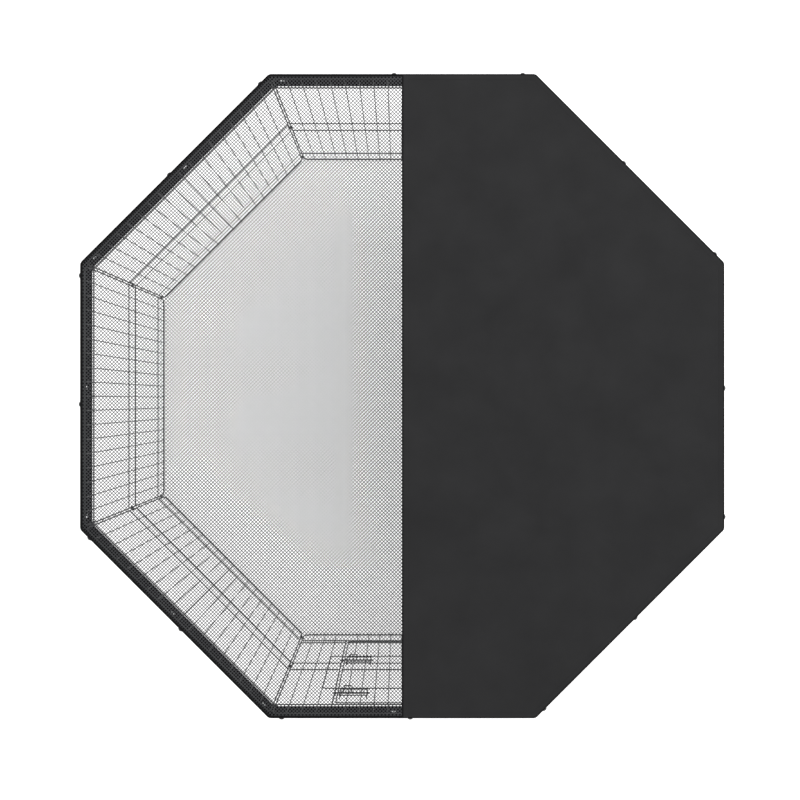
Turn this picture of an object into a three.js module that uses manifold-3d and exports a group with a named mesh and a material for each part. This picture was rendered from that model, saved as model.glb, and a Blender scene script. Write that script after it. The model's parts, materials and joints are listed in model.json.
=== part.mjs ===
// A folding wire pet pen of eight linked panels, one with a door, set up as an octagon
// under a fitted cover that is half net and half shade cloth. Millimetres, +Z up.
// The door panel faces -Y, and the sides are counted clockwise from it, as seen from above.
import * as THREE from 'three';
import { mergeVertices } from 'three/addons/utils/BufferGeometryUtils.js';
import Module from 'manifold-3d';

const wasm = await Module();
wasm.setup();

// Wire panels
const panelWidth = 604; // between the middles of the two edge wires
const panelHeight = 610;
const columns = 18; // spaces between upright wires
const frameWire = 3.2;
const crossWire = 2.6;
const uprightWire = 2;
const uprightInset = 1.2; // from the panel's plane to the middle of an upright
const wireGap = 0.3; // between an upright and the cross wires that pass it
const lowerCrossHeight = 60;
const middleCrossHeights = [261, 313];
const upperCrossDrop = 60; // from the panel's top

// Corner links
const turningGap = 0.35; // round a wire that turns in a link
const linkWeb = 0.8; // between a link's two eyes
const linkWall = 1.6; // round its eyes
const linkLength = 8; // along the edge wires
const linkSlack = 4.7; // for the second wire to move along a corner link as its panel turns
const topLinkRise = 12; // above the upper cross wire

// Doorway and door
const doorColumns = 10; // spaces that the doorway takes
const doorWire = 3;
const doorSideGap = 7.8; // from the middle of the door's edge wire to that of the jamb
const doorSillGap = 9.5;
const doorHeadGap = 6;
const kickWireRise = 20; // above the sill wire
const jambOverrun = 8; // past the sill and head wires
const doorRingInset = 90; // from each end of the door

// Stop wire on the outside of the door, which laps over the jamb
const stopWire = 3;
const stopOffset = 4.6; // out from the panel's plane
const lowerStopHeight = 193;
const upperStopDrop = 104; // from the door's top wire
const stopReach = 34; // past the jamb

// Slide bolts
const boltWire = 4;
const boltOffset = 8.5; // out from the panel's plane
const boltRise = 22; // above the stop wire
const boltPastJamb = 7;
const boltTail = 8; // past the bracket's second ear
const boltHoleGap = 0.4;
const bracketLength = 67;
const bracketInset = 5; // from the door's edge wire to the first ear
const bracketHeight = 44;
const bracketWire = 2.6;
const bracketGap = 0.3; // over the stop wire
const earThickness = 2.4;
const earDepth = 10;
const handleWire = 3;
const handleInset = 7.5; // from the first ear
const handleWidth = 19.5;
const handleDrop = 50;
const keeperWire = 2.6;
const keeperSpread = 13;
const keeperReach = 13; // out from the panel's plane

// Cover
const coverThickness = 1;
const coverGap = 0.3; // over the top wires, and between the cover's pieces
const skirtThickness = 1;
const skirtOffset = 7.5; // out from the panel's plane to the skirt's inner face
const skirtHeight = 59;
const eyeletHole = 12;
const eyeletPastCorner = 26.6;
const eyeletPastMiddle = 20;
const ballDiameter = 17;
const ballBeforeCorner = 25;
const ballBeforeMiddle = 19;
const elastic = 2.6;
const elasticGap = 0.3;
const elasticInset = 4.8; // inside the panel's plane, behind the uprights
const elasticPastUpright = 6;

// Worked out from the sizes above
const sides = ['front', 'front_left', 'left', 'back_left', 'back', 'back_right', 'right', 'front_right'];
const sideAngle = (2 * Math.PI) / sides.length;
const halfAngle = sideAngle / 2;
const halfWidth = panelWidth / 2;
const linkEye = (frameWire / 2) * Math.SQRT2 + turningGap;
const linkSpacing = 2 * linkEye + linkWeb; // between the edge wires of neighbouring panels
const apothem = (halfWidth + linkSpacing / 2 / Math.cos(halfAngle)) / Math.tan(halfAngle);
const cornerDistance = halfWidth * Math.sin(halfAngle) + apothem * Math.cos(halfAngle);
const pitch = panelWidth / columns;
const crossOffset = -uprightInset + uprightWire / 2 + wireGap + crossWire / 2;
const upperCrossHeight = panelHeight - upperCrossDrop;
const crossHeights = [lowerCrossHeight, ...middleCrossHeights, upperCrossHeight];
const linkHeights = {
  low: lowerCrossHeight / 2,
  middle: (middleCrossHeights[0] + middleCrossHeights[1]) / 2,
  high: upperCrossHeight + topLinkRise,
};

const jambX = (doorColumns / 2) * pitch;
const fieldEdge = jambX - frameWire / 2; // where the door panel's sides end
const doorHalf = jambX - doorSideGap;
const doorBottom = lowerCrossHeight + doorSillGap;
const doorTop = upperCrossHeight - doorHeadGap;
const kickHeight = lowerCrossHeight + kickWireRise;
const stopHeights = { low: lowerStopHeight, high: doorTop - upperStopDrop };
const firstEarX = -(doorHalf - bracketInset);
const secondEarX = firstEarX + bracketLength;

const skirtTop = panelHeight;
const skirtMiddle = skirtTop - skirtHeight / 2;
const skirtFace = skirtOffset + skirtThickness;
const ballOffset = skirtFace + elasticGap + ballDiameter / 2;
const strandOffset = skirtFace + elasticGap + elastic / 2;

const coatedSteel = new THREE.MeshStandardMaterial({ color: 0x232426, roughness: 0.45, metalness: 0.3 });
const netCloth = new THREE.MeshStandardMaterial({ color: 0x3a3b3d, roughness: 0.9 });
const shadeCloth = new THREE.MeshStandardMaterial({ color: 0x2a2b2d, roughness: 0.85 });
const ballPlastic = new THREE.MeshStandardMaterial({ color: 0x17181a, roughness: 0.5 });

// A closed solid for joining and cutting, from a geometry whose shared vertices are merged
function toSolid(geometry) {
  const bare = geometry.clone();
  bare.deleteAttribute('normal');
  bare.deleteAttribute('uv');
  const merged = mergeVertices(bare);
  const mesh = new wasm.Mesh({
    numProp: 3,
    vertProperties: new Float32Array(merged.attributes.position.array),
    triVerts: new Uint32Array(merged.index.array),
  });
  return new wasm.Manifold(mesh);
}

// One geometry from the pieces that are joined and the pieces that are cut away
function join(pieces, cuts = []) {
  let solid = toSolid(pieces[0]);
  for (const piece of pieces.slice(1)) solid = solid.add(toSolid(piece));
  for (const cut of cuts) solid = solid.subtract(toSolid(cut));
  const { vertProperties, triVerts } = solid.getMesh();
  const geometry = new THREE.BufferGeometry();
  geometry.setAttribute('position', new THREE.BufferAttribute(vertProperties, 3));
  geometry.setIndex(new THREE.BufferAttribute(triVerts, 1));
  geometry.computeVertexNormals();
  return geometry;
}

// A block on the front side, with its depth counted outwards from the panel's plane
function block([x0, x1], [out0, out1], [z0, z1]) {
  const geometry = new THREE.BoxGeometry(x1 - x0, out1 - out0, z1 - z0);
  geometry.translate((x0 + x1) / 2, -apothem - (out0 + out1) / 2, (z0 + z1) / 2);
  return geometry;
}

const about = (middle, thickness) => [middle - thickness / 2, middle + thickness / 2];
const wireAlong = (x0, x1, out, z, wire) => block([x0, x1], about(out, wire), about(z, wire));
const wireUp = (x, out, z0, z1, wire) => block(about(x, wire), about(out, wire), [z0, z1]);
const wireOut = (x, out0, out1, z, wire) => block(about(x, wire), [out0, out1], about(z, wire));

// The rectangle of thick wire round a panel or a door
function wireFrame(half, bottom, top, wire) {
  return [
    wireAlong(-half - wire / 2, half + wire / 2, 0, bottom, wire),
    wireAlong(-half - wire / 2, half + wire / 2, 0, top, wire),
    wireUp(-half, 0, bottom, top, wire),
    wireUp(half, 0, bottom, top, wire),
  ];
}

const panelBottomWire = frameWire / 2;
const panelTopWire = panelHeight - frameWire / 2;
const upright = (column, z0, z1) => wireUp(column * pitch, -uprightInset, z0, z1, uprightWire);
const cross = (x0, x1, z) => wireAlong(x0, x1, crossOffset, z, crossWire);

function plainPanel() {
  const wires = wireFrame(halfWidth, panelBottomWire, panelTopWire, frameWire);
  for (let column = 1 - columns / 2; column < columns / 2; column += 1) {
    wires.push(upright(column, panelBottomWire, panelTopWire));
  }
  for (const height of crossHeights) wires.push(cross(-halfWidth, halfWidth, height));
  return join(wires);
}

// The prongs that stand out from the jamb above and below each bolt
function keeper(stopHeight) {
  return [-1, 1].map((way) => {
    const height = stopHeight + boltRise + (way * keeperSpread) / 2;
    return wireOut(-jambX, 0, keeperReach, height, keeperWire);
  });
}

// The panel beside the doorway, on one way from it, with the doorway's jamb
function doorPanelSide(way) {
  const ends = [way * fieldEdge, way * halfWidth].sort((a, b) => a - b);
  const crossEnds = [way * jambX, way * halfWidth].sort((a, b) => a - b);
  const jamb = [lowerCrossHeight - jambOverrun, upperCrossHeight + jambOverrun];
  const wires = [
    wireAlong(...ends, 0, panelBottomWire, frameWire),
    wireAlong(...ends, 0, panelTopWire, frameWire),
    wireUp(way * halfWidth, 0, 0, panelHeight, frameWire),
    wireUp(way * jambX, 0, ...jamb, frameWire),
  ];
  for (let column = doorColumns / 2 + 1; column < columns / 2; column += 1) {
    wires.push(upright(way * column, panelBottomWire, panelTopWire));
  }
  for (const height of [kickHeight, ...crossHeights]) wires.push(cross(...crossEnds, height));
  if (way < 0) wires.push(...keeper(stopHeights.low), ...keeper(stopHeights.high));
  return join(wires);
}

// The panel below or above the doorway, from the panel's own edge wire to the doorway's
function doorPanelEnd(edgeHeight, doorwayHeight) {
  const half = fieldEdge - wireGap;
  const wires = [
    wireAlong(-half, half, 0, edgeHeight, frameWire),
    wireAlong(-half, half, 0, doorwayHeight, crossWire),
  ];
  for (let column = 1 - doorColumns / 2; column < doorColumns / 2; column += 1) {
    wires.push(upright(column, ...[edgeHeight, doorwayHeight].sort((a, b) => a - b)));
  }
  return join(wires);
}

// The door's own wires, and the stop wire bent out over the jamb
function door() {
  const wires = wireFrame(doorHalf, doorBottom, doorTop, doorWire);
  for (let column = 1 - doorColumns / 2; column < doorColumns / 2; column += 1) {
    wires.push(upright(column, doorBottom, doorTop));
  }
  for (const height of [kickHeight, ...middleCrossHeights]) wires.push(cross(-doorHalf, doorHalf, height));
  const stopX = -jambX - stopReach;
  for (const height of Object.values(stopHeights)) {
    wires.push(wireAlong(stopX - stopWire / 2, doorHalf, stopOffset, height, stopWire));
    wires.push(wireOut(-doorHalf, 0, stopOffset, height, stopWire));
    wires.push(wireOut(doorHalf, 0, stopOffset + stopWire / 2, height, stopWire));
  }
  wires.push(wireUp(stopX, stopOffset, stopHeights.low, stopHeights.high, stopWire));
  return join(wires);
}

// Two ears with the bolt's holes, held apart by two rails
function latchBracket(stopHeight) {
  const back = stopOffset - bracketWire / 2;
  const bottom = stopHeight + stopWire / 2 + bracketGap + bracketWire / 2;
  const top = stopHeight + bracketHeight;
  const rails = [bottom, top].map((z) => wireAlong(firstEarX, secondEarX, stopOffset, z, bracketWire));
  const earHeight = [bottom - bracketWire / 2, top + bracketWire / 2];
  const ears = [firstEarX, secondEarX].map((x) =>
    block(about(x, earThickness), [back, back + earDepth], earHeight));
  const hole = boltWire + 2 * boltHoleGap;
  const reach = [firstEarX - earThickness, secondEarX + earThickness];
  return join([...rails, ...ears], [wireAlong(...reach, boltOffset, stopHeight + boltRise, hole)]);
}

// The bolt and the wire loop that hangs from it as a handle
function latchBolt(stopHeight) {
  const height = stopHeight + boltRise;
  const handleBottom = height - handleDrop;
  const left = firstEarX + handleInset;
  const right = left + handleWidth;
  return join([
    wireAlong(-jambX - boltPastJamb, secondEarX + boltTail, boltOffset, height, boltWire),
    wireUp(left, boltOffset, handleBottom, height, handleWire),
    wireUp(right, boltOffset, handleBottom, height, handleWire),
    wireAlong(left - handleWire / 2, right + handleWire / 2, boltOffset, handleBottom, handleWire),
  ]);
}

// A plate with an eye for each of two wires. With slack, the eye at its left is a slot.
// Where the plate is open, the wire at its right slips out sideways.
function link(spacing, { slack = 0, open = false } = {}) {
  const rim = linkEye + linkWall;
  const left = -spacing / 2 - slack - rim;
  const right = open ? spacing / 2 + linkEye : spacing / 2 + rim;
  const corner = rim / 3;
  const outline = new THREE.Shape();
  outline.moveTo(left + corner, -rim);
  outline.lineTo(right - corner, -rim);
  outline.lineTo(right, -rim + corner);
  if (open) {
    outline.lineTo(right, -linkEye);
    outline.lineTo(spacing / 2 - linkEye, -linkEye);
    outline.lineTo(spacing / 2 - linkEye, linkEye);
    outline.lineTo(right, linkEye);
  }
  outline.lineTo(right, rim - corner);
  outline.lineTo(right - corner, rim);
  outline.lineTo(left + corner, rim);
  outline.lineTo(left, rim - corner);
  outline.lineTo(left, -rim + corner);
  outline.closePath();
  outline.holes.push(slack ? slotPath(-spacing / 2, slack) : polygonPath(-spacing / 2, linkEye, 6));
  if (!open) outline.holes.push(polygonPath(spacing / 2, linkEye, 6));
  const geometry = new THREE.ExtrudeGeometry(outline, { depth: linkLength, bevelEnabled: false });
  geometry.translate(0, 0, -linkLength / 2);
  return geometry;
}

// A closed path of equal sides, each at one distance from the middle
function polygonPath(middleX, distance, count) {
  const path = new THREE.Path();
  for (let n = 0; n < count; n += 1) {
    const angle = ((n + 0.5) / count) * 2 * Math.PI;
    const radius = distance / Math.cos(Math.PI / count);
    const point = [middleX + radius * Math.cos(angle), radius * Math.sin(angle)];
    if (n === 0) path.moveTo(...point);
    else path.lineTo(...point);
  }
  path.closePath();
  return path;
}

// A link's eye of six sides, drawn out to the left
function slotPath(middleX, slack) {
  const radius = linkEye / Math.cos(Math.PI / 6);
  const ends = [[middleX, -90], [middleX - slack, 90]];
  const points = ends.flatMap(([endX, start]) =>
    [0, 60, 120, 180].map((step) => {
      const angle = THREE.MathUtils.degToRad(start + step);
      return new THREE.Vector2(endX + radius * Math.cos(angle), radius * Math.sin(angle));
    }));
  const path = new THREE.Path(points);
  path.closePath();
  return path;
}

const cornerLink = () => link(linkSpacing, { slack: linkSlack }).translate(0, -cornerDistance, 0);
const closureLink = () => link(linkSpacing, { open: true }).translate(0, -cornerDistance, 0);
const doorRing = () => link(doorSideGap).translate(doorHalf + doorSideGap / 2, -apothem, 0);

// Half of the cover's flat top, on the -X side. The other half is the same, turned half round.
function coverHalf() {
  const outer = apothem + skirtFace;
  const halfSide = outer * Math.tan(halfAngle);
  const outline = new THREE.Shape();
  outline.moveTo(-coverGap / 2, -outer);
  outline.lineTo(-coverGap / 2, outer);
  outline.lineTo(-halfSide, outer);
  outline.lineTo(-outer, halfSide);
  outline.lineTo(-outer, -halfSide);
  outline.lineTo(-halfSide, -outer);
  outline.closePath();
  const geometry = new THREE.ExtrudeGeometry(outline, { depth: coverThickness, bevelEnabled: false });
  return geometry.translate(0, 0, panelHeight + coverGap);
}

const eyeletPlaces = () => {
  const halfSide = (apothem + skirtFace) * Math.tan(halfAngle);
  return [halfSide - eyeletPastCorner, -eyeletPastMiddle];
};

// The band that hangs round the outside of the panels, with two eyelet holes on each side
function skirt() {
  const outline = new THREE.Shape(polygonPath(0, apothem + skirtFace, sides.length).getPoints());
  outline.holes.push(polygonPath(0, apothem + skirtOffset, sides.length));
  const band = new THREE.ExtrudeGeometry(outline, { depth: skirtHeight, bevelEnabled: false });
  band.translate(0, 0, skirtTop - skirtHeight);
  const holes = sides.flatMap((side, n) =>
    eyeletPlaces().map((x) => {
      const hole = new THREE.CylinderGeometry(eyeletHole / 2, eyeletHole / 2, 4 * skirtFace, 8);
      hole.translate(x, -apothem - skirtOffset, skirtMiddle);
      return hole.rotateZ(-n * sideAngle);
    }));
  return join([band], holes);
}

function ball(x) {
  const geometry = new THREE.SphereGeometry(ballDiameter / 2, 10, 6);
  return geometry.translate(x, -apothem - ballOffset, skirtMiddle);
}

const strand = (x0, x1, out) => wireAlong(x0, x1, out, skirtMiddle, elastic);
const strandThrough = (x, out0, out1) => wireOut(x, out0, out1, skirtMiddle, elastic);

// A ball on an elastic that goes in through an eyelet and round the middle upright of a panel
function middleTie() {
  const eyeletX = eyeletPlaces()[1];
  const inner = -elasticInset - elastic / 2;
  return join([
    ball(ballBeforeMiddle),
    strand(eyeletX - elastic / 2, ballBeforeMiddle, strandOffset),
    strandThrough(eyeletX, inner, strandOffset),
    strand(eyeletX, elasticPastUpright, -elasticInset),
    strandThrough(elasticPastUpright, inner, 0),
  ]);
}

// The same at a corner: from a ball on one side round to the eyelet on the next, behind its edge wire
function cornerTie() {
  const eyeletX = eyeletPlaces()[0];
  const bendX = (apothem + strandOffset + elastic / 2) * Math.tan(halfAngle);
  const ballX = -(apothem + skirtFace) * Math.tan(halfAngle) + ballBeforeCorner;
  const inner = -elasticInset - elastic / 2;
  const nextSide = [
    strand(eyeletX - elastic / 2, bendX, strandOffset),
    strandThrough(eyeletX, inner, strandOffset),
    strand(eyeletX, halfWidth, -elasticInset),
  ].map((piece) => piece.rotateZ(-sideAngle));
  return join([ball(ballX), strand(-bendX, ballX, strandOffset), ...nextSide]);
}

const model = new THREE.Group();

function addPiece(name, geometry, material, turn = 0) {
  const mesh = new THREE.Mesh(geometry, material);
  mesh.name = name;
  mesh.rotation.z = turn;
  model.add(mesh);
  return mesh;
}

sides.slice(1).forEach((side, n) => {
  addPiece(`panel_${side}`, plainPanel(), coatedSteel, -(n + 1) * sideAngle);
});
addPiece('door_panel_latch_side', doorPanelSide(-1), coatedSteel);
addPiece('door_panel_hinge_side', doorPanelSide(1), coatedSteel);
addPiece('door_panel_sill', doorPanelEnd(panelBottomWire, lowerCrossHeight), coatedSteel);
addPiece('door_panel_head', doorPanelEnd(panelTopWire, upperCrossHeight), coatedSteel);

// Links at every corner but the last, which closes with two open links
for (let corner = 1; corner < sides.length; corner += 1) {
  for (const [level, height] of Object.entries(linkHeights)) {
    const turn = -(corner - 0.5) * sideAngle;
    addPiece(`link_${corner}_${level}`, cornerLink(), coatedSteel, turn).position.z = height;
  }
}
for (const level of ['low', 'high']) {
  addPiece(`closure_${level}`, closureLink(), coatedSteel, halfAngle).position.z = linkHeights[level];
}

addPiece('door', door(), coatedSteel);
addPiece('door_ring_low', doorRing(), coatedSteel).position.z = doorBottom + doorRingInset;
addPiece('door_ring_high', doorRing(), coatedSteel).position.z = doorTop - doorRingInset;
for (const [level, height] of Object.entries(stopHeights)) {
  addPiece(`latch_bracket_${level}`, latchBracket(height), coatedSteel);
  addPiece(`latch_bolt_${level}`, latchBolt(height), coatedSteel);
}

addPiece('cover_net_half', coverHalf(), netCloth);
addPiece('cover_shade_half', coverHalf(), shadeCloth, Math.PI);
addPiece('cover_skirt', skirt(), shadeCloth);
sides.forEach((side, n) => {
  addPiece(`tie_${side}_middle`, middleTie(), ballPlastic, -n * sideAngle);
  addPiece(`tie_${side}_corner`, cornerTie(), ballPlastic, -n * sideAngle);
});

export default model;
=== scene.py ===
import json
import math

import bpy
import numpy as np
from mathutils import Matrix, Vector


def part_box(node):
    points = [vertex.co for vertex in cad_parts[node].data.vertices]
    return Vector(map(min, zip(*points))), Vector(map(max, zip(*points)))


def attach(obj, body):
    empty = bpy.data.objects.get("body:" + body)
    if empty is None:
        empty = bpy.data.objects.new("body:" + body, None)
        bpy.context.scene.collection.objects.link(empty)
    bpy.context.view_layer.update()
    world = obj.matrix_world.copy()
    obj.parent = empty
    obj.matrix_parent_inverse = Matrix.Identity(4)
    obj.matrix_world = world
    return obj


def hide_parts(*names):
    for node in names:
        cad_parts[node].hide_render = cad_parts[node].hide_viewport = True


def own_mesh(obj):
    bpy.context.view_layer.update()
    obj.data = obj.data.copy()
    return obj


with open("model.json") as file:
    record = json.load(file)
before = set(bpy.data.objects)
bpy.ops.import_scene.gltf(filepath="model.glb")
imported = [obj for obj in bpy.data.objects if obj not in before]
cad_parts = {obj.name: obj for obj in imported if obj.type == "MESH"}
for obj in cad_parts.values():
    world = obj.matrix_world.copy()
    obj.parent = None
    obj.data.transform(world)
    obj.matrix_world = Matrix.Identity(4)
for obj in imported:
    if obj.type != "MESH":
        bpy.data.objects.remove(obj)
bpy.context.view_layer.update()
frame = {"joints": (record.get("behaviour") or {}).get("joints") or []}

# A folding wire pet pen under a fitted cover that is half net and half shade cloth.
# Metres, +Z up. The door panel faces -Y, and the sides are counted clockwise from it.
mm = 0.001
sideNames = ["front", "front_left", "left", "back_left", "back", "back_right", "right", "front_right"]
sideAngle = 2 * math.pi / len(sideNames)
halfAngle = sideAngle / 2
joints = {joint["name"]: joint for joint in frame["joints"]}


def turned(x, y, angle):
    return (x * math.cos(angle) - y * math.sin(angle), x * math.sin(angle) + y * math.cos(angle))


def selectOnly(*objects):
    bpy.ops.object.select_all(action="DESELECT")
    for each in objects:
        each.select_set(True)
    bpy.context.view_layer.objects.active = objects[-1]


def named(name, obj=None):
    obj = obj or bpy.context.object
    obj.name = name
    obj.data.name = name
    return obj


def settle(obj):
    selectOnly(obj)
    bpy.ops.object.transform_apply(location=True, rotation=True, scale=True)
    return obj


def editMode(obj, choose="SELECT"):
    selectOnly(obj)
    bpy.ops.object.mode_set(mode="EDIT")
    bpy.ops.mesh.select_all(action=choose)


def objectMode():
    bpy.ops.object.mode_set(mode="OBJECT")
    return bpy.context.object


def modify(obj, kind, **settings):
    selectOnly(obj)
    modifier = obj.modifiers.new(kind.lower(), kind)
    for key, value in settings.items():
        setattr(modifier, key, value)
    bpy.ops.object.modifier_apply(modifier=modifier.name)
    return obj


def thickened(obj, thickness):
    return modify(obj, "SOLIDIFY", thickness=thickness, offset=0)


def eased(obj, width, segments, degrees=50):
    return modify(obj, "BEVEL", width=width, segments=segments, limit_method="ANGLE",
                  angle_limit=math.radians(degrees))


def drilled(obj, drill):
    modify(obj, "BOOLEAN", object=drill, operation="DIFFERENCE", solver="EXACT")
    remove(drill)
    return obj


def joined(name, parts):
    selectOnly(*parts)
    if len(parts) > 1:
        bpy.ops.object.join()
    return named(name)


def copyOf(obj, name, turn=0.0, move=(0, 0, 0)):
    twin = obj.copy()
    twin.data = obj.data.copy()
    bpy.context.collection.objects.link(twin)
    twin.location = move
    twin.rotation_euler = (0, 0, turn)
    return settle(named(name, twin))


def remove(*objects):
    for each in objects:
        bpy.data.objects.remove(each, do_unlink=True)


def smooth(obj, degrees=40):
    selectOnly(obj)
    bpy.ops.object.shade_smooth_by_angle(angle=math.radians(degrees))
    return obj


def inPlace(obj, body, slotName, *nodes):
    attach(obj, body)
    if nodes:
        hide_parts(*nodes)
    return obj


# A round wire through points, with its bends rounded
def bentWire(name, points, wire, bend=0.0, closed=False, steps=5):
    bpy.ops.object.select_all(action="DESELECT")
    bpy.ops.mesh.primitive_plane_add(size=0.001, location=points[0])
    bpy.ops.object.mode_set(mode="EDIT")
    bpy.ops.mesh.select_all(action="SELECT")
    bpy.ops.mesh.merge(type="CENTER")
    path = list(points) + ([points[0]] if closed else [])
    for here, there in zip(path, path[1:]):
        step = Vector(there) - Vector(here)
        bpy.ops.mesh.extrude_region_move(TRANSFORM_OT_translate={"value": step})
    bpy.ops.mesh.select_all(action="SELECT")
    if closed:
        bpy.ops.mesh.remove_doubles(threshold=1e-5)
    if bend:
        bpy.ops.mesh.bevel(offset=bend, segments=steps, affect="VERTICES")
    bpy.ops.object.mode_set(mode="OBJECT")
    bpy.ops.object.convert(target="CURVE")
    curve = bpy.context.object.data
    curve.bevel_depth = wire / 2
    curve.bevel_resolution = 2
    curve.use_fill_caps = not closed
    bpy.ops.object.convert(target="MESH")
    return settle(smooth(named(name)))


weld = {"cross": 1.7 * mm, "frame": 2 * mm, "door": 1.9 * mm, "keeper": 2.1 * mm, "ear": 2.2 * mm,
        "handle": 2.5 * mm, "flat": 0.8, "inset": 0.9 * mm}


# A small lump of weld metal, then a row of them
def weldRow(start, count=1, step=0.0, size=weld["cross"]):
    bpy.ops.object.select_all(action="DESELECT")
    bpy.ops.mesh.primitive_ico_sphere_add(subdivisions=1, radius=size, location=start)
    bead = settle(named("weld"))
    editMode(bead)
    bpy.ops.transform.resize(value=(1, weld["flat"], 1), center_override=start)
    objectMode()
    bpy.ops.object.shade_smooth()
    return repeated(bead, count, (step, 0, 0))


def repeated(obj, count, step):
    if count == 1:
        return obj
    return modify(obj, "ARRAY", count=count, use_relative_offset=False,
                  use_constant_offset=True, constant_offset_displace=step)


def colour(hexCode):
    def linear(value):
        return value / 12.92 if value <= 0.04045 else ((value + 0.055) / 1.055) ** 2.4
    parts = [int(hexCode[n:n + 2], 16) / 255 for n in (1, 3, 5)]
    return tuple(linear(part) for part in parts) + (1.0,)


def addNode(tree, kind, settings=None, inputs=None):
    node = tree.nodes.new("ShaderNode" + kind)
    for key, value in (settings or {}).items():
        setattr(node, key, value)
    for socket, value in (inputs or {}).items():
        if isinstance(value, bpy.types.NodeSocket):
            tree.links.new(value, node.inputs[socket])
        else:
            node.inputs[socket].default_value = value
    return node


def newMaterial(name):
    material = bpy.data.materials.new(name)
    material.use_nodes = True
    tree = material.node_tree
    shader = tree.nodes["Principled BSDF"]
    place = addNode(tree, "TexCoord").outputs["Object"]
    return material, tree, shader, place


def setSockets(tree, node, **inputs):
    for socket, value in inputs.items():
        socket = socket.replace("_", " ")
        if isinstance(value, bpy.types.NodeSocket):
            tree.links.new(value, node.inputs[socket])
        else:
            node.inputs[socket].default_value = value


def noise(tree, place, size, detail=3.0, rough=0.55):
    return addNode(tree, "TexNoise", None,
                   {"Vector": place, "Scale": 1 / size, "Detail": detail, "Roughness": rough}).outputs[0]


def between(tree, value, low, high, start=0.3, end=0.7):
    return addNode(tree, "MapRange", None, {"Value": value, "From Min": start, "From Max": end,
                                            "To Min": low, "To Max": high}).outputs[0]


def twoTone(tree, value, dark, light):
    return addNode(tree, "Mix", {"data_type": "RGBA"},
                   {0: value, 6: colour(dark), 7: colour(light)}).outputs[2]


# Two tones in soft patches of a given size
def mottled(tree, place, size, dark, light, detail=3.0):
    return twoTone(tree, between(tree, noise(tree, place, size, detail), 0, 1), dark, light)


def bumps(tree, height, distance, strength=1.0, below=None):
    inputs = {"Height": height, "Distance": distance, "Strength": strength}
    if below:
        inputs["Normal"] = below
    return addNode(tree, "Bump", None, inputs).outputs[0]


# Threads that cross at right angles, with a given distance between them
def weave(tree, place, pitch):
    rows = [addNode(tree, "TexWave", {"bands_direction": way},
                    {"Vector": place, "Scale": 0.1 * math.pi / pitch}).outputs["Fac"] for way in "XY"]
    return addNode(tree, "Math", {"operation": "MAXIMUM"}, {0: rows[0], 1: rows[1]}).outputs[0]


looks = {
    "wireDark": "#0d0e0f", "wireLight": "#151617",
    "sheetDark": "#0b0c0d", "sheetLight": "#131415",
    "yarnDark": "#2c2d2f", "yarnLight": "#37383a",
    "clothDark": "#19191a", "clothLight": "#1f1f20",
    # The skirt's tones are darker than the shade cloth's. This is painted shade for the dim inside of the
    # skirt.
    "skirtPaintedShadeDark": "#050506", "skirtPaintedShadeLight": "#080809",
    "tapeDark": "#080809", "tapeLight": "#0e0e0f",
    "ballDark": "#121314", "ballLight": "#18191b",
    "elasticDark": "#131416", "elasticLight": "#1e1f22",
    "eyeletDark": "#9a9b9c", "eyeletLight": "#b9babb",
    "floor": "#f4f4f4",
}


def coatedSteel(name, dark, light, grain=0.9 * mm):
    material, tree, shader, place = newMaterial(name)
    peel = noise(tree, place, grain, 2)
    setSockets(tree, shader, Base_Color=mottled(tree, place, 60 * mm, dark, light, 4),
               Roughness=between(tree, noise(tree, place, 14 * mm), 0.36, 0.52),
               Specular_IOR_Level=0.35, Normal=bumps(tree, peel, 0.02 * mm, 0.5))
    return material


def cloth(name, dark, light, pitch, depth, sheen=0.1, folds=0.0, shine=0.22):
    material, tree, shader, place = newMaterial(name)
    threads = weave(tree, place, pitch)
    normal = bumps(tree, threads, depth, 0.6)
    if folds:
        normal = bumps(tree, noise(tree, place, 45 * mm, 4), folds, 0.6, normal)
    setSockets(tree, shader, Base_Color=mottled(tree, place, 120 * mm, dark, light, 5), Roughness=0.9,
               Specular_IOR_Level=shine, Sheen_Weight=sheen, Sheen_Roughness=0.5, Normal=normal)
    return material


def yarn(name, dark, light):
    material, tree, shader, place = newMaterial(name)
    fibres = noise(tree, place, 0.5 * mm, 2)
    setSockets(tree, shader, Base_Color=mottled(tree, place, 90 * mm, dark, light, 4),
               Roughness=0.75, Specular_IOR_Level=0.3, Sheen_Weight=0.08,
               Normal=bumps(tree, fibres, 0.15 * mm, 0.6))
    return material


def mouldedPlastic(name, dark, light):
    material, tree, shader, place = newMaterial(name)
    setSockets(tree, shader, Base_Color=mottled(tree, place, 9 * mm, dark, light),
               Roughness=between(tree, noise(tree, place, 4 * mm), 0.34, 0.48),
               Normal=bumps(tree, noise(tree, place, 0.35 * mm, 2), 0.02 * mm, 0.7))
    return material


def elasticCord(name, dark, light):
    material, tree, shader, place = newMaterial(name)
    ribs = addNode(tree, "TexWave", {"bands_direction": "DIAGONAL"},
                   {"Vector": place, "Scale": 0.1 * math.pi / (0.8 * mm)}).outputs["Fac"]
    setSockets(tree, shader, Base_Color=twoTone(tree, ribs, dark, light), Roughness=0.8,
               Specular_IOR_Level=0.3, Normal=bumps(tree, ribs, 0.2 * mm, 0.7))
    return material


def platedBrass(name, dark, light):
    material, tree, shader, place = newMaterial(name)
    setSockets(tree, shader, Base_Color=mottled(tree, place, 5 * mm, dark, light),
               Metallic=1.0, Roughness=between(tree, noise(tree, place, 2 * mm), 0.22, 0.38),
               Normal=bumps(tree, noise(tree, place, 0.6 * mm), 0.01 * mm, 0.5))
    return material


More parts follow.
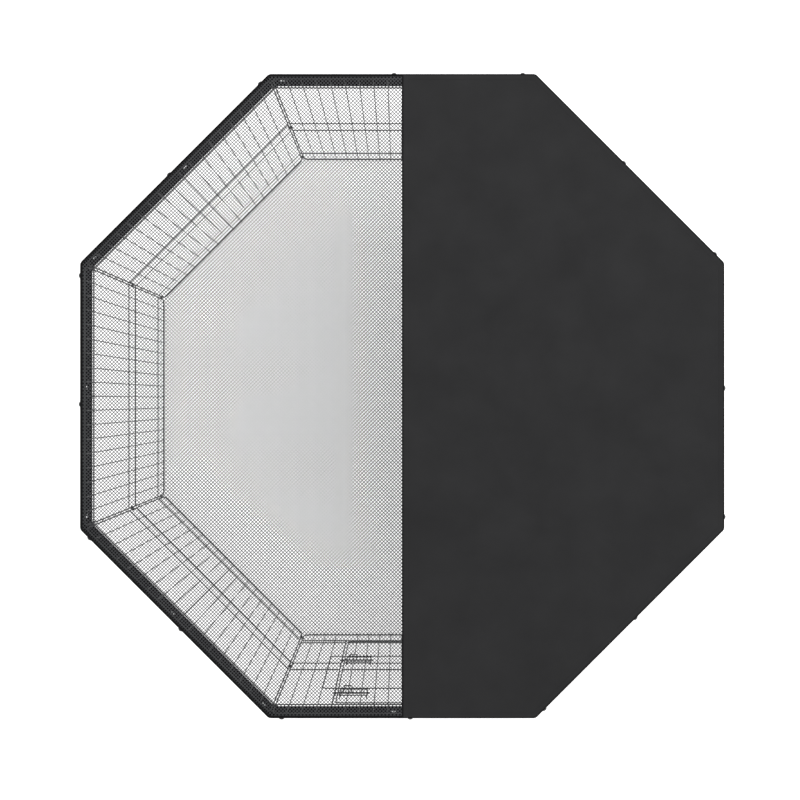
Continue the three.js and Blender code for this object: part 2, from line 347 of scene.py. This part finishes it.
wireSteel = coatedSteel("electroCoatedSteelWire", looks["wireDark"], looks["wireLight"])
clipSteel = coatedSteel("coatedSheetSteel", looks["sheetDark"], looks["sheetLight"], 0.6 * mm)
netYarn = yarn("knottedPolyesterNet", looks["yarnDark"], looks["yarnLight"])
shadeCloth = cloth("wovenPolyesterShadeCloth", looks["clothDark"], looks["clothLight"], 0.7 * mm, 0.12 * mm,
                   folds=1.2 * mm)
tapeCloth = cloth("polyesterBindingTape", looks["tapeDark"], looks["tapeLight"], 1.1 * mm, 0.2 * mm,
                  sheen=0.03, shine=0.12)
# Skirt and skirt hem cloth: its darker tones are painted shade for the skirt's dim inside.
skirtPaintedShadeCloth = cloth("skirtClothPaintedShade", looks["skirtPaintedShadeDark"], looks["skirtPaintedShadeLight"], 0.7 * mm, 0.1 * mm,
                   sheen=0.0, folds=0.8 * mm, shine=0.05)
ballPlastic = mouldedPlastic("mouldedNylonBall", looks["ballDark"], looks["ballLight"])
coveredElastic = elasticCord("braidCoveredElastic", looks["elasticDark"], looks["elasticLight"])
eyeletBrass = platedBrass("nickelPlatedBrass", looks["eyeletDark"], looks["eyeletLight"])


def painted(obj, material):
    obj.data.materials.clear()
    obj.data.materials.append(material)
    return obj


# Sizes that come from the frame
jambX, hingeY, _ = joints["door_swing"]["pos_m"]
apothem = -hingeY
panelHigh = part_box("panel_back")[1][2]
panelWires = {
    "frame": 3.6 * mm, "solidFrame": 3.2 * mm, "frameBend": 14 * mm, "cross": 3.1 * mm, "upright": 2.3 * mm,
    "uprightInset": 2.1 * mm, "columns": 18,
    "crossHeights": [60 * mm, 261 * mm, 313 * mm, 554.5 * mm],
}
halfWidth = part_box("panel_back")[1][0] - panelWires["solidFrame"] / 2
pitch = 2 * halfWidth / panelWires["columns"]
lowWire = panelWires["frame"] / 2
highWire = panelHigh - panelWires["frame"] / 2


def at(x, out, z):
    return (x, -apothem - out, z)


print("wire panels")


def uprights(first, last, low, high):
    ends = [at(first * pitch, -panelWires["uprightInset"], height) for height in (low, high)]
    start = bentWire("upright", ends, panelWires["upright"])
    return repeated(start, last - first + 1, (pitch, 0, 0))


def crossWire(left, right, height, wire=panelWires["cross"]):
    return bentWire("cross", [at(left, 0, height), at(right, 0, height)], wire)


def welds(first, last, height):
    return weldRow(at(first * pitch, -weld["inset"], height), last - first + 1, pitch)


def frameOf(half, low, high, wire, bend):
    return bentWire("frame", [at(-half, 0, low), at(half, 0, low), at(half, 0, high), at(-half, 0, high)],
                    wire, bend, closed=True)


def plainPanel():
    edge = panelWires["columns"] // 2 - 1
    parts = [frameOf(halfWidth, lowWire, highWire, panelWires["frame"], panelWires["frameBend"]),
             uprights(-edge, edge, lowWire, highWire)]
    for height in panelWires["crossHeights"]:
        parts.append(crossWire(-halfWidth, halfWidth, height))
        parts += [weldRow(at(way * halfWidth, 0, height), size=weld["frame"]) for way in (-1, 1)]
    parts += [welds(-edge, edge, height) for height in [lowWire, *panelWires["crossHeights"], highWire]]
    return painted(joined("plainPanel", parts), wireSteel)


plain = plainPanel()
for n, side in enumerate(sideNames[1:], 1):
    panel = copyOf(plain, f"wirePanel_{side}", -n * sideAngle)
    inPlace(panel, f"panel_{side}", "coated_wire", f"panel_{side}")
remove(plain)

print("door panel")
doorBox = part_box("door")
doorWires = {
    "frame": 3 * mm, "frameBend": 9 * mm, "stop": 3 * mm, "stopBend": 9 * mm, "stopOut": 3.4 * mm,
    "kickHeight": 80 * mm, "jambOverrun": 8 * mm, "columns": 10, "boltRise": 22 * mm,
    "keeper": 2.6 * mm, "keeperSpread": 13 * mm, "keeperReach": 13 * mm, "keeperBend": 3.5 * mm,
}
latch = {
    "ear": 2.4 * mm, "rail": 2.6 * mm, "hole": 4.9 * mm, "bolt": 4 * mm, "boltOut": 6.9 * mm,
    "handle": 3 * mm, "handleInset": 7.5 * mm, "handleWidth": 19.5 * mm, "handleBend": 4.5 * mm,
}
doorHalf = doorBox[1][0] - doorWires["frame"] / 2
doorLow = doorBox[0][2] + doorWires["frame"] / 2
doorHigh = doorBox[1][2] - doorWires["frame"] / 2
stopX = doorBox[0][0] + doorWires["stop"] / 2
boltHeights = {level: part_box(f"latch_bolt_{level}")[1][2] - latch["bolt"] / 2 for level in ("low", "high")}


def keeper(height):
    half = doorWires["keeperSpread"] / 2
    reach = doorWires["keeperReach"]
    return bentWire("keeper", [at(-jambX, 0, height - half), at(-jambX, reach, height - half),
                               at(-jambX, reach, height + half), at(-jambX, 0, height + half)],
                    doorWires["keeper"], doorWires["keeperBend"])


def doorPanel():
    edge = panelWires["columns"] // 2 - 1
    jamb = doorWires["columns"] // 2
    sill, *middles, head = panelWires["crossHeights"]
    over = doorWires["jambOverrun"]
    parts = [frameOf(halfWidth, lowWire, highWire, panelWires["frame"], panelWires["frameBend"]),
             uprights(-edge, -jamb - 1, lowWire, highWire), uprights(jamb + 1, edge, lowWire, highWire),
             uprights(1 - jamb, jamb - 1, lowWire, sill), uprights(1 - jamb, jamb - 1, head, highWire)]
    for height in (sill, head):
        parts += [crossWire(-halfWidth, halfWidth, height), welds(-edge, edge, height)]
    parts += [welds(-edge, edge, lowWire), welds(-edge, edge, highWire)]
    for way in (-1, 1):
        parts.append(bentWire("jamb", [at(way * jambX, 0, sill - over), at(way * jambX, 0, head + over)],
                              panelWires["frame"]))
        left, right = sorted([way * jambX, way * halfWidth])
        first, last = sorted([way * (jamb + 1), way * edge])
        for height in (doorWires["kickHeight"], *middles):
            parts += [crossWire(left, right, height), welds(first, last, height)]
        for height in panelWires["crossHeights"] + [doorWires["kickHeight"]]:
            parts += [weldRow(at(x, 0, height), size=weld["frame"]) for x in (way * jambX, way * halfWidth)]
    for height in boltHeights.values():
        parts.append(keeper(height))
        for end in (-doorWires["keeperSpread"] / 2, doorWires["keeperSpread"] / 2):
            parts.append(weldRow(at(-jambX, 0.5 * mm, height + end), size=weld["keeper"]))
    return painted(joined("wirePanel_front", parts), wireSteel)


inPlace(doorPanel(), "root", "coated_wire",
        *[f"door_panel_{part}" for part in ("latch_side", "hinge_side", "sill", "head")])


def door():
    jamb = doorWires["columns"] // 2
    out = doorWires["stopOut"]
    stops = [height - doorWires["boltRise"] for height in boltHeights.values()]
    heights = [doorWires["kickHeight"], *panelWires["crossHeights"][1:3]]
    parts = [frameOf(doorHalf, doorLow, doorHigh, doorWires["frame"], doorWires["frameBend"]),
             uprights(1 - jamb, jamb - 1, doorLow, doorHigh),
             bentWire("stop", [at(doorHalf, out, stops[0]), at(stopX, out, stops[0]),
                               at(stopX, out, stops[1]), at(doorHalf, out, stops[1])],
                      doorWires["stop"], doorWires["stopBend"])]
    for height in heights:
        parts += [crossWire(-doorHalf, doorHalf, height), welds(1 - jamb, jamb - 1, height)]
        parts += [weldRow(at(way * doorHalf, 0, height), size=weld["door"]) for way in (-1, 1)]
    parts += [welds(1 - jamb, jamb - 1, height) for height in (doorLow, doorHigh)]
    for height in stops:
        for way in (-1, 1):
            parts.append(weldRow(at(way * (doorHalf - 0.3 * mm), 1.8 * mm, height), size=weld["frame"]))
    return painted(joined("wireDoor", parts), wireSteel)


inPlace(door(), "door", "coated_wire", "door")

print("slide bolts")


# A plate with rounded corners and a hole for the bolt
def ear(x, low, high, boltY, boltZ):
    bpy.ops.object.select_all(action="DESELECT")
    middle = (Vector(low) + Vector(high)) / 2
    bpy.ops.mesh.primitive_cube_add(size=1, location=(x, middle.y, middle.z))
    plate = bpy.context.object
    plate.scale = (latch["ear"], high[1] - low[1], high[2] - low[2])
    settle(plate)
    modify(plate, "BEVEL", width=0.5 * mm, segments=2)
    bpy.ops.mesh.primitive_cylinder_add(vertices=20, radius=latch["hole"] / 2, depth=9 * mm,
                                        location=(x, boltY, boltZ), rotation=(0, math.pi / 2, 0))
    drill = settle(bpy.context.object)
    return smooth(drilled(plate, drill), 35)


def bracket(level):
    low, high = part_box(f"latch_bracket_{level}")
    boltY = -apothem - latch["boltOut"]
    xs = [low[0] + latch["ear"] / 2, high[0] - latch["ear"] / 2]
    parts = [ear(x, low, high, boltY, boltHeights[level]) for x in xs]
    out = -high[1] - apothem + latch["rail"] / 2
    for z in (low[2] + latch["rail"] / 2, high[2] - latch["rail"] / 2):
        parts.append(bentWire("rail", [at(xs[0], out, z), at(xs[1], out, z)], latch["rail"]))
    parts += [weldRow(at(x, 4.2 * mm, low[2] - 0.2 * mm), size=weld["ear"]) for x in xs]
    piece = painted(joined(f"latchBracket_{level}", parts), clipSteel)
    return inPlace(piece, "door", "latch_steel", f"latch_bracket_{level}")


def bolt(level):
    low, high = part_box(f"latch_bolt_{level}")
    height = boltHeights[level]
    bpy.ops.object.select_all(action="DESELECT")
    bpy.ops.mesh.primitive_cylinder_add(vertices=20, radius=latch["bolt"] / 2, depth=high[0] - low[0],
                                        location=at((low[0] + high[0]) / 2, latch["boltOut"], height),
                                        rotation=(0, math.pi / 2, 0))
    rod = settle(bpy.context.object)
    smooth(eased(rod, 0.9 * mm, 3), 50)
    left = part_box(f"latch_bracket_{level}")[0][0] + latch["ear"] / 2 + latch["handleInset"]
    right = left + latch["handleWidth"]
    foot = low[2] + latch["handle"] / 2
    path = [at(x, latch["boltOut"], z) for x, z in
            [(left, height), (left, foot), (right, foot), (right, height)]]
    loop = bentWire("handle", path, latch["handle"], latch["handleBend"])
    beads = [weldRow(at(x, latch["boltOut"], height - 0.6 * mm), size=weld["handle"]) for x in (left, right)]
    piece = painted(joined(f"latchBolt_{level}", [rod, loop, *beads]), clipSteel)
    return inPlace(piece, f"bolt_{level}", "latch_steel", f"latch_bolt_{level}")


for level in ("low", "high"):
    bracket(level)
    bolt(level)

print("links")
clip = {"wall": 1.1 * mm, "clear": 0.3 * mm, "tall": 9 * mm, "crimp": 0.68, "mouth": 0.9 * mm, "sides": 18}


# A strip of steel bent round two wires and pinched between them. An open end leaves its wire a way out
def clipRound(name, spacing, wire, openEnd=False):
    radius = wire / 2 + clip["clear"] + clip["wall"] / 2
    bpy.ops.object.select_all(action="DESELECT")
    bpy.ops.mesh.primitive_cylinder_add(vertices=clip["sides"], radius=radius, depth=clip["tall"],
                                        end_fill_type="NOTHING")
    tube = settle(bpy.context.object)
    spots = np.array([tuple(v.co) for v in tube.data.vertices])
    if np.min(np.abs(spots[:, 0])) < 1e-6:   # no edge may lie on the middle line
        tube.rotation_euler.z = math.pi / clip["sides"]
        settle(tube)
    for way in (-1, 1):
        for vertex in tube.data.vertices:
            vertex.select = vertex.co.x * way > 0
        for edge in tube.data.edges:
            edge.select = all(tube.data.vertices[v].select for v in edge.vertices)
        for face in tube.data.polygons:
            face.select = all(tube.data.vertices[v].select for v in face.vertices)
        selectOnly(tube)
        bpy.ops.object.mode_set(mode="EDIT")
        bpy.ops.transform.translate(value=(way * spacing / 2, 0, 0))
        bpy.ops.object.mode_set(mode="OBJECT")
    editMode(tube)
    bpy.ops.mesh.bisect(plane_co=(0, 0, 0), plane_no=(1, 0, 0))
    bpy.ops.transform.resize(value=(1, clip["crimp"], 1), center_override=(0, 0, 0))
    if openEnd:
        bpy.ops.mesh.select_all(action="SELECT")
        mouth = (spacing / 2 + clip["mouth"], 0, 0)
        bpy.ops.mesh.bisect(plane_co=mouth, plane_no=(1, 0, 0), clear_outer=True)
    objectMode()
    thickened(tube, clip["wall"])
    eased(tube, 0.25 * mm, 1, 60)
    return painted(smooth(named(name, tube), 50), clipSteel)


# Where a corner's two edge wires meet: their middle, their distance and their direction
def cornerPlace(corner):
    here = Vector(turned(-halfWidth, -apothem, -(corner - 1) * sideAngle))
    there = Vector(turned(halfWidth, -apothem, -corner * sideAngle))
    return (here + there) / 2, (here - there).length, -(corner - 0.5) * sideAngle


_, linkSpacing, _ = cornerPlace(1)
cornerClip = clipRound("cornerClip", linkSpacing, panelWires["frame"])
openClip = clipRound("openClip", linkSpacing, panelWires["frame"], openEnd=True)
for corner in range(1, len(sideNames)):
    middle, _, turn = cornerPlace(corner)
    for level in ("low", "middle", "high"):
        node = f"link_{corner}_{level}"
        low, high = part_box(node)
        piece = copyOf(cornerClip, f"cornerLink_{corner}_{level}", turn, (*middle, (low[2] + high[2]) / 2))
        inPlace(piece, f"links_{corner}", "link_steel", node)
for level in ("low", "high"):
    middle, _, turn = cornerPlace(len(sideNames))
    low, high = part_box(f"closure_{level}")
    piece = copyOf(openClip, f"closureLink_{level}", turn, (*middle, (low[2] + high[2]) / 2))
    inPlace(piece, "root", "link_steel", f"closure_{level}")
doorClip = clipRound("doorClip", jambX - doorHalf, panelWires["frame"])
for level in ("low", "high"):
    low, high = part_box(f"door_ring_{level}")
    piece = copyOf(doorClip, f"doorRing_{level}", 0, at((jambX + doorHalf) / 2, 0, (low[2] + high[2]) / 2))
    inPlace(piece, "door", "link_steel", f"door_ring_{level}")
remove(cornerClip, openClip, doorClip)

print("cover")
cover = {
    "sag": 9 * mm, "sagInset": 8 * mm, "ripple": 0.8 * mm, "netPitch": 5.9 * mm, "netThread": 1.6 * mm,
    "border": 4.5 * mm, "tapeThick": 1.5 * mm, "tapeOver": 0.3 * mm, "tapeEdge": 0.3 * mm,
    "clothThick": 0.7 * mm, "shadeHem": 12 * mm, "shadeHemThick": 1.4 * mm, "piping": 3.2 * mm,
    "seam": 2.6 * mm, "seamLap": 0.6 * mm, "seamThick": 1.6 * mm, "seamFold": 13 * mm, "foldThick": 1.3 * mm,
    "skirtThick": 0.8 * mm, "skirtBend": 7 * mm, "lean": 2.2 * mm, "hem": 13 * mm, "hemThick": 1.7 * mm,
    "eyeletHole": 5.2 * mm, "eyeletRim": 8 * mm, "eyeletWall": 0.5 * mm,
}
coverLow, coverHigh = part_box("cover_net_half")
outer = -coverLow[0]
sheetZ = (coverLow[2] + coverHigh[2]) / 2 + 0.2 * mm
skirtLow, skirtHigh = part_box("cover_skirt")
ways = [Vector((math.cos(n * sideAngle), math.sin(n * sideAngle), 0)) for n in range(len(sideNames))]


# How far the cover hangs down at each point, from nothing at its rim to the whole sag at its middle
def hang(obj):
    count = len(obj.data.vertices)
    spots = np.empty(count * 3)
    obj.data.vertices.foreach_get("co", spots)
    spots = spots.reshape(-1, 3)
    reach = sum(np.abs(spots[:, 0] * way.x + spots[:, 1] * way.y) ** 8 for way in ways[:4]) ** 0.125
    depth = np.clip(1 - (reach / (apothem - cover["sagInset"])) ** 2, 0, 1) ** 1.5
    ripple = np.sin(spots[:, 0] * 21 + 2 * np.sin(spots[:, 1] * 5)) * np.sin(spots[:, 1] * 13 + 1)
    spots[:, 2] -= depth * (cover["sag"] + cover["ripple"] * ripple)
    obj.data.vertices.foreach_set("co", spots.reshape(-1))
    obj.data.update()
    return obj


# What lies inside the octagon, on one side of the seam
def trimmed(obj, reach, way, gap):
    editMode(obj)
    for direction in ways:
        bpy.ops.mesh.select_all(action="SELECT")
        bpy.ops.mesh.bisect(plane_co=direction * reach, plane_no=direction, clear_outer=True)
    bpy.ops.mesh.select_all(action="SELECT")
    bpy.ops.mesh.bisect(plane_co=(way * gap, 0, 0), plane_no=(-way, 0, 0), clear_outer=True)
    return objectMode()


# A grid of edges widened into threads, with the openings between them deleted
def netHalf():
    cells = 2 * math.ceil((1.5 * outer / math.sqrt(2) + 20 * mm) / cover["netPitch"])
    bpy.ops.object.select_all(action="DESELECT")
    size = cells * cover["netPitch"]
    bpy.ops.mesh.primitive_grid_add(x_subdivisions=cells, y_subdivisions=cells, size=size,
                                    location=(-outer / 2, 0, sheetZ), rotation=(0, 0, math.pi / 4))
    net = settle(named("coverNet"))
    editMode(net)
    bpy.ops.mesh.bevel(offset=cover["netThread"] / 2, segments=1, affect="EDGES")
    objectMode()
    hole = (cover["netPitch"] - cover["netThread"]) ** 2
    areas = np.empty(len(net.data.polygons))
    net.data.polygons.foreach_get("area", areas)
    isHole = areas > 0.8 * hole
    net.data.vertices.foreach_set("select", np.zeros(len(net.data.vertices), dtype=bool))
    net.data.edges.foreach_set("select", np.zeros(len(net.data.edges), dtype=bool))
    net.data.polygons.foreach_set("select", isHole)
    selectOnly(net)
    bpy.context.tool_settings.mesh_select_mode = (False, False, True)
    bpy.ops.object.mode_set(mode="EDIT")
    bpy.ops.mesh.delete(type="ONLY_FACE")
    bpy.ops.mesh.select_all(action="SELECT")
    bpy.ops.mesh.delete_loose(use_verts=True, use_edges=True, use_faces=False)
    bpy.ops.mesh.select_mode(type="VERT")
    objectMode()
    trimmed(net, outer - 4 * mm, -1, 0)
    return painted(hang(net), netYarn)


def shadeHalf():
    bpy.ops.object.select_all(action="DESELECT")
    bpy.ops.mesh.primitive_grid_add(x_subdivisions=60, y_subdivisions=120, size=2,
                                    location=(outer / 2, 0, sheetZ))
    sheet = named("coverShade")
    sheet.scale = (outer / 2, outer, 1)
    settle(sheet)
    trimmed(sheet, outer, 1, 0.5 * mm)
    hang(sheet)
    thickened(sheet, cover["clothThick"])
    return painted(smooth(sheet, 60), shadeCloth)


def octagonLoop(name, reach, z):
    bpy.ops.object.select_all(action="DESELECT")
    bpy.ops.mesh.primitive_circle_add(vertices=len(sideNames), radius=reach / math.cos(halfAngle),
                                      fill_type="NOTHING", location=(0, 0, z))
    loop = settle(named(name))
    loop.rotation_euler.z = halfAngle
    return settle(loop)


# A band of tape round one half's rim
def rimBand(name, width, thick, way):
    reach = outer + cover["tapeOver"]
    band = octagonLoop(name, reach, sheetZ)
    editMode(band)
    inner = (outer - width) / reach
    bpy.ops.mesh.extrude_edges_move(TRANSFORM_OT_translate={"value": (0, 0, 0)})
    bpy.ops.transform.resize(value=(inner, inner, 1), center_override=(0, 0, sheetZ))
    bpy.ops.mesh.select_all(action="SELECT")
    bpy.ops.mesh.bisect(plane_co=(0, 0, 0), plane_no=(-way, 0, 0), clear_outer=True)
    bpy.ops.mesh.select_all(action="SELECT")
    bpy.ops.mesh.normals_make_consistent(inside=False)
    objectMode()
    thickened(band, thick)
    return smooth(eased(band, cover["tapeEdge"], 2), 50)


# A band of cloth along the seam
def seamBand(name, left, right, thick, lift=0.0):
    long = outer - 1 * mm
    bpy.ops.object.select_all(action="DESELECT")
    bpy.ops.mesh.primitive_grid_add(x_subdivisions=2, y_subdivisions=120, size=1,
                                    location=((left + right) / 2, 0, sheetZ + lift))
    band = named(name)
    band.scale = (right - left, 2 * long, 1)
    hang(settle(band))
    thickened(band, thick)
    return smooth(eased(band, 0.25 * mm, 2), 50)


def octagonPath(reach, z):
    radius = reach / math.cos(halfAngle)
    return [(radius * math.cos((n + 0.5) * sideAngle), radius * math.sin((n + 0.5) * sideAngle), z)
            for n in range(len(sideNames))]


coverPieces = []


def coverPiece(obj, slotName, *nodes):
    inPlace(obj, "cover", slotName, *nodes)
    coverPieces.append(obj)
    return obj


net = coverPiece(netHalf(), "net", "cover_net_half")
shade = coverPiece(shadeHalf(), "shade_cloth", "cover_shade_half")
border = rimBand("netBorder", cover["border"], cover["tapeThick"], -1)
border = coverPiece(painted(border, tapeCloth), "shade_cloth")
shadeRim = rimBand("shadeHem", cover["shadeHem"], cover["shadeHemThick"], 1)
shadeRim = coverPiece(painted(shadeRim, shadeCloth), "shade_cloth")
seam = seamBand("coverSeam", -cover["seamLap"], cover["seam"], cover["seamThick"], 0.6 * mm)
seam = coverPiece(painted(seam, tapeCloth), "shade_cloth")
seamFold = seamBand("coverSeamFold", cover["seam"], cover["seamFold"], cover["foldThick"], 0.3 * mm)
seamFold = coverPiece(painted(seamFold, shadeCloth), "shade_cloth")
rim = octagonPath(outer - 0.4 * mm, sheetZ + 0.2 * mm)
piping = bentWire("coverPiping", rim, cover["piping"], 5 * mm, closed=True)
piping = coverPiece(painted(piping, tapeCloth), "shade_cloth")


# The skirt, its eyelets and the ball ties. A tie's x runs along its side from the middle or from the corner
tieSizes = {
    "ball": 8.4 * mm, "elastic": 2.6 * mm, "bend": 2.2 * mm, "behind": -5 * mm, "ballGap": 1.1 * mm,
    "strandGap": 1.9 * mm, "middleHole": -20 * mm, "middleBall": 19 * mm, "middleHook": 6 * mm,
    "cornerHole": 26.6 * mm, "cornerBall": 25 * mm, "cornerHook": 1 * mm,
}
skirtReach = skirtHigh[0]
skirtHalf = skirtReach * math.tan(halfAngle)
eyeletSpots = {"middle": tieSizes["middleHole"], "corner": skirtHalf - tieSizes["cornerHole"]}
eyeletZ = (skirtLow[2] + skirtHigh[2]) / 2


def onSide(n, x, out, z):
    return (*turned(x, -apothem - out, -n * sideAngle), z)


# The skirt leans in from the cover's rim to the panels
def skirtAt(z):
    share = (skirtHigh[2] - z) / (skirtHigh[2] - skirtLow[2])
    return skirtReach - 0.5 * mm - share * cover["lean"]


eyeletOut = skirtAt(eyeletZ) - apothem


def skirtBand(name, low, high, thick):
    lean = skirtAt(low) / skirtAt(high)
    band = octagonLoop(name, skirtAt(high), high)
    editMode(band)
    bpy.ops.mesh.bevel(offset=cover["skirtBend"], segments=3, affect="VERTICES")
    bpy.ops.mesh.select_all(action="SELECT")
    bpy.ops.mesh.extrude_edges_move(TRANSFORM_OT_translate={"value": (0, 0, low - high)})
    bpy.ops.transform.resize(value=(lean, lean, 1), center_override=(0, 0, low))
    bpy.ops.mesh.select_all(action="SELECT")
    bpy.ops.mesh.normals_make_consistent(inside=False)
    objectMode()
    return thickened(band, thick)


def skirt():
    band = skirtBand("coverSkirt", skirtLow[2], sheetZ - 0.2 * mm, cover["skirtThick"])
    drills = []
    for n in range(len(sideNames)):
        for x in eyeletSpots.values():
            bpy.ops.object.select_all(action="DESELECT")
            bpy.ops.mesh.primitive_cylinder_add(
                vertices=20, radius=cover["eyeletHole"] + 0.4 * mm, depth=20 * mm,
                location=onSide(n, x, eyeletOut, eyeletZ), rotation=(math.pi / 2, 0, -n * sideAngle))
            drills.append(settle(bpy.context.object))
    drilled(band, joined("drills", drills))
    return painted(smooth(band, 40), skirtPaintedShadeCloth)


skirtPiece = coverPiece(skirt(), "shade_cloth", "cover_skirt")
skirtHem = skirtBand("skirtHem", skirtLow[2] - 0.5 * mm, skirtLow[2] + cover["hem"], cover["hemThick"])
skirtHem = smooth(eased(skirtHem, 0.5 * mm, 2), 50)
skirtHem = coverPiece(painted(skirtHem, skirtPaintedShadeCloth), "shade_cloth")


# A rolled brass ring, turned from its profile
def eyelet():
    bpy.ops.object.select_all(action="DESELECT")
    hole, rim = cover["eyeletHole"], cover["eyeletRim"]
    profile = [(hole, -1.3 * mm), (hole - 0.3 * mm, 0), (hole, 1.1 * mm), (hole + 1 * mm, 1.6 * mm),
               (rim - 0.5 * mm, 1.3 * mm), (rim, 0.5 * mm)]
    bpy.ops.mesh.primitive_plane_add(size=0.001, location=(profile[0][0], profile[0][1], 0))
    bpy.ops.object.mode_set(mode="EDIT")
    bpy.ops.mesh.select_all(action="SELECT")
    bpy.ops.mesh.merge(type="CENTER")
    for here, there in zip(profile, profile[1:]):
        step = (there[0] - here[0], there[1] - here[1], 0)
        bpy.ops.mesh.extrude_region_move(TRANSFORM_OT_translate={"value": step})
    bpy.ops.mesh.select_all(action="SELECT")
    bpy.ops.mesh.spin(steps=24, angle=2 * math.pi, center=(0, 0, 0), axis=(0, 1, 0))
    bpy.ops.mesh.select_all(action="SELECT")
    bpy.ops.mesh.remove_doubles(threshold=1e-6)
    bpy.ops.mesh.normals_make_consistent(inside=False)
    ring = settle(objectMode())
    thickened(ring, cover["eyeletWall"])
    return smooth(named("eyelet", ring), 60)


def strandWire(points):
    return bentWire("strand", points, tieSizes["elastic"], tieSizes["bend"], steps=4)


# A moulded ball with its mould line round it
def tieBall(spot):
    bpy.ops.object.select_all(action="DESELECT")
    bpy.ops.mesh.primitive_uv_sphere_add(segments=24, ring_count=15, radius=tieSizes["ball"], location=spot)
    ball = settle(bpy.context.object)
    editMode(ball)
    bpy.ops.mesh.bisect(plane_co=spot, plane_no=(0, 0, 1))
    bpy.ops.mesh.bevel(offset=0.25 * mm, segments=2)
    bpy.ops.transform.resize(value=(1.02, 1.02, 1), center_override=spot)
    objectMode()
    bpy.ops.object.shade_smooth()
    return painted(ball, ballPlastic)


ballOut = eyeletOut + tieSizes["ballGap"] + tieSizes["ball"]
strandOut = eyeletOut + tieSizes["strandGap"] + tieSizes["elastic"] / 2
behind = tieSizes["behind"]


def middleTie():
    hole, ball, hook = eyeletSpots["middle"], tieSizes["middleBall"], tieSizes["middleHook"]
    path = [onSide(0, x, out, eyeletZ) for x, out in
            [(ball, strandOut), (hole, strandOut), (hole, behind), (hook, behind), (hook, 0)]]
    return [painted(strandWire(path), coveredElastic), tieBall(onSide(0, ball, ballOut, eyeletZ))]


def cornerTie():
    hole = eyeletSpots["corner"]
    ball = tieSizes["cornerBall"] - skirtHalf
    bend = (apothem + strandOut) * math.tan(halfAngle)
    path = [onSide(0, ball, strandOut, eyeletZ), onSide(0, -bend, strandOut, eyeletZ),
            onSide(1, hole, strandOut, eyeletZ), onSide(1, hole, behind, eyeletZ),
            onSide(1, halfWidth + tieSizes["cornerHook"], behind, eyeletZ)]
    return [painted(strandWire(path), coveredElastic), tieBall(onSide(0, ball, ballOut, eyeletZ))]


ties = {"middle": joined("middleTie", middleTie()), "corner": joined("cornerTie", cornerTie())}
ring = painted(eyelet(), eyeletBrass)
eyelets = []
for n, side in enumerate(sideNames):
    for kind, tie in ties.items():
        coverPiece(copyOf(tie, f"ballTie_{side}_{kind}", -n * sideAngle), "ball_tie", f"tie_{side}_{kind}")
        spot = onSide(n, eyeletSpots[kind], eyeletOut, eyeletZ)
        eyelets.append(copyOf(ring, f"eyelet_{side}_{kind}", math.pi - n * sideAngle, spot))
        coverPiece(eyelets[-1], "ball_tie")
remove(*ties.values(), ring)

# Each cover piece gets a mesh of its own
for piece in coverPieces:
    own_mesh(piece)

print("studio")
studio = {
    "camera": (-5.1 * mm, -9 * mm, 2419 * mm), "lens": 35.1, "sensor": 36, "farthest": 50,
    "sky": 1.0, "floorSize": 14, "floorDrop": 0.5 * mm, "floorGlow": 0.35,
    "lightPlace": (0.4, 0.9, 3.2), "lightAim": (0, 0, 0.3), "lightSize": 2.6, "lightPower": 60.0,
}


def floorMaterial():
    material, tree, shader, _ = newMaterial("paleFloor")
    setSockets(tree, shader, Base_Color=colour(looks["floor"]), Roughness=0.9, Specular_IOR_Level=0.1,
               Emission_Color=(1, 1, 1, 1), Emission_Strength=studio["floorGlow"])
    return material


bpy.ops.object.select_all(action="DESELECT")
bpy.ops.mesh.primitive_plane_add(size=studio["floorSize"], location=(0, 0, -studio["floorDrop"]))
floor = painted(settle(named("studioFloor")), floorMaterial())

world = bpy.data.worlds.new("softWhite")
world.use_nodes = True
world.node_tree.nodes["Background"].inputs["Color"].default_value = (1, 1, 1, 1)
world.node_tree.nodes["Background"].inputs["Strength"].default_value = studio["sky"]
bpy.context.scene.world = world

bpy.ops.object.light_add(type="AREA", location=studio["lightPlace"])
light = bpy.context.object
light.name = "softBox"
light.rotation_euler = (Vector(studio["lightAim"]) - light.location).to_track_quat("-Z", "Y").to_euler()
light.data.shape = "DISK"
light.data.size = studio["lightSize"]
light.data.energy = studio["lightPower"]

bpy.ops.object.camera_add(location=studio["camera"])
camera = bpy.context.object
camera.name = "overhead"
camera.rotation_euler = (0, 0, 0)
camera.data.lens = studio["lens"]
camera.data.sensor_width = studio["sensor"]
camera.data.clip_end = studio["farthest"]
bpy.context.scene.camera = camera
bpy.context.scene.view_settings.view_transform = "Standard"
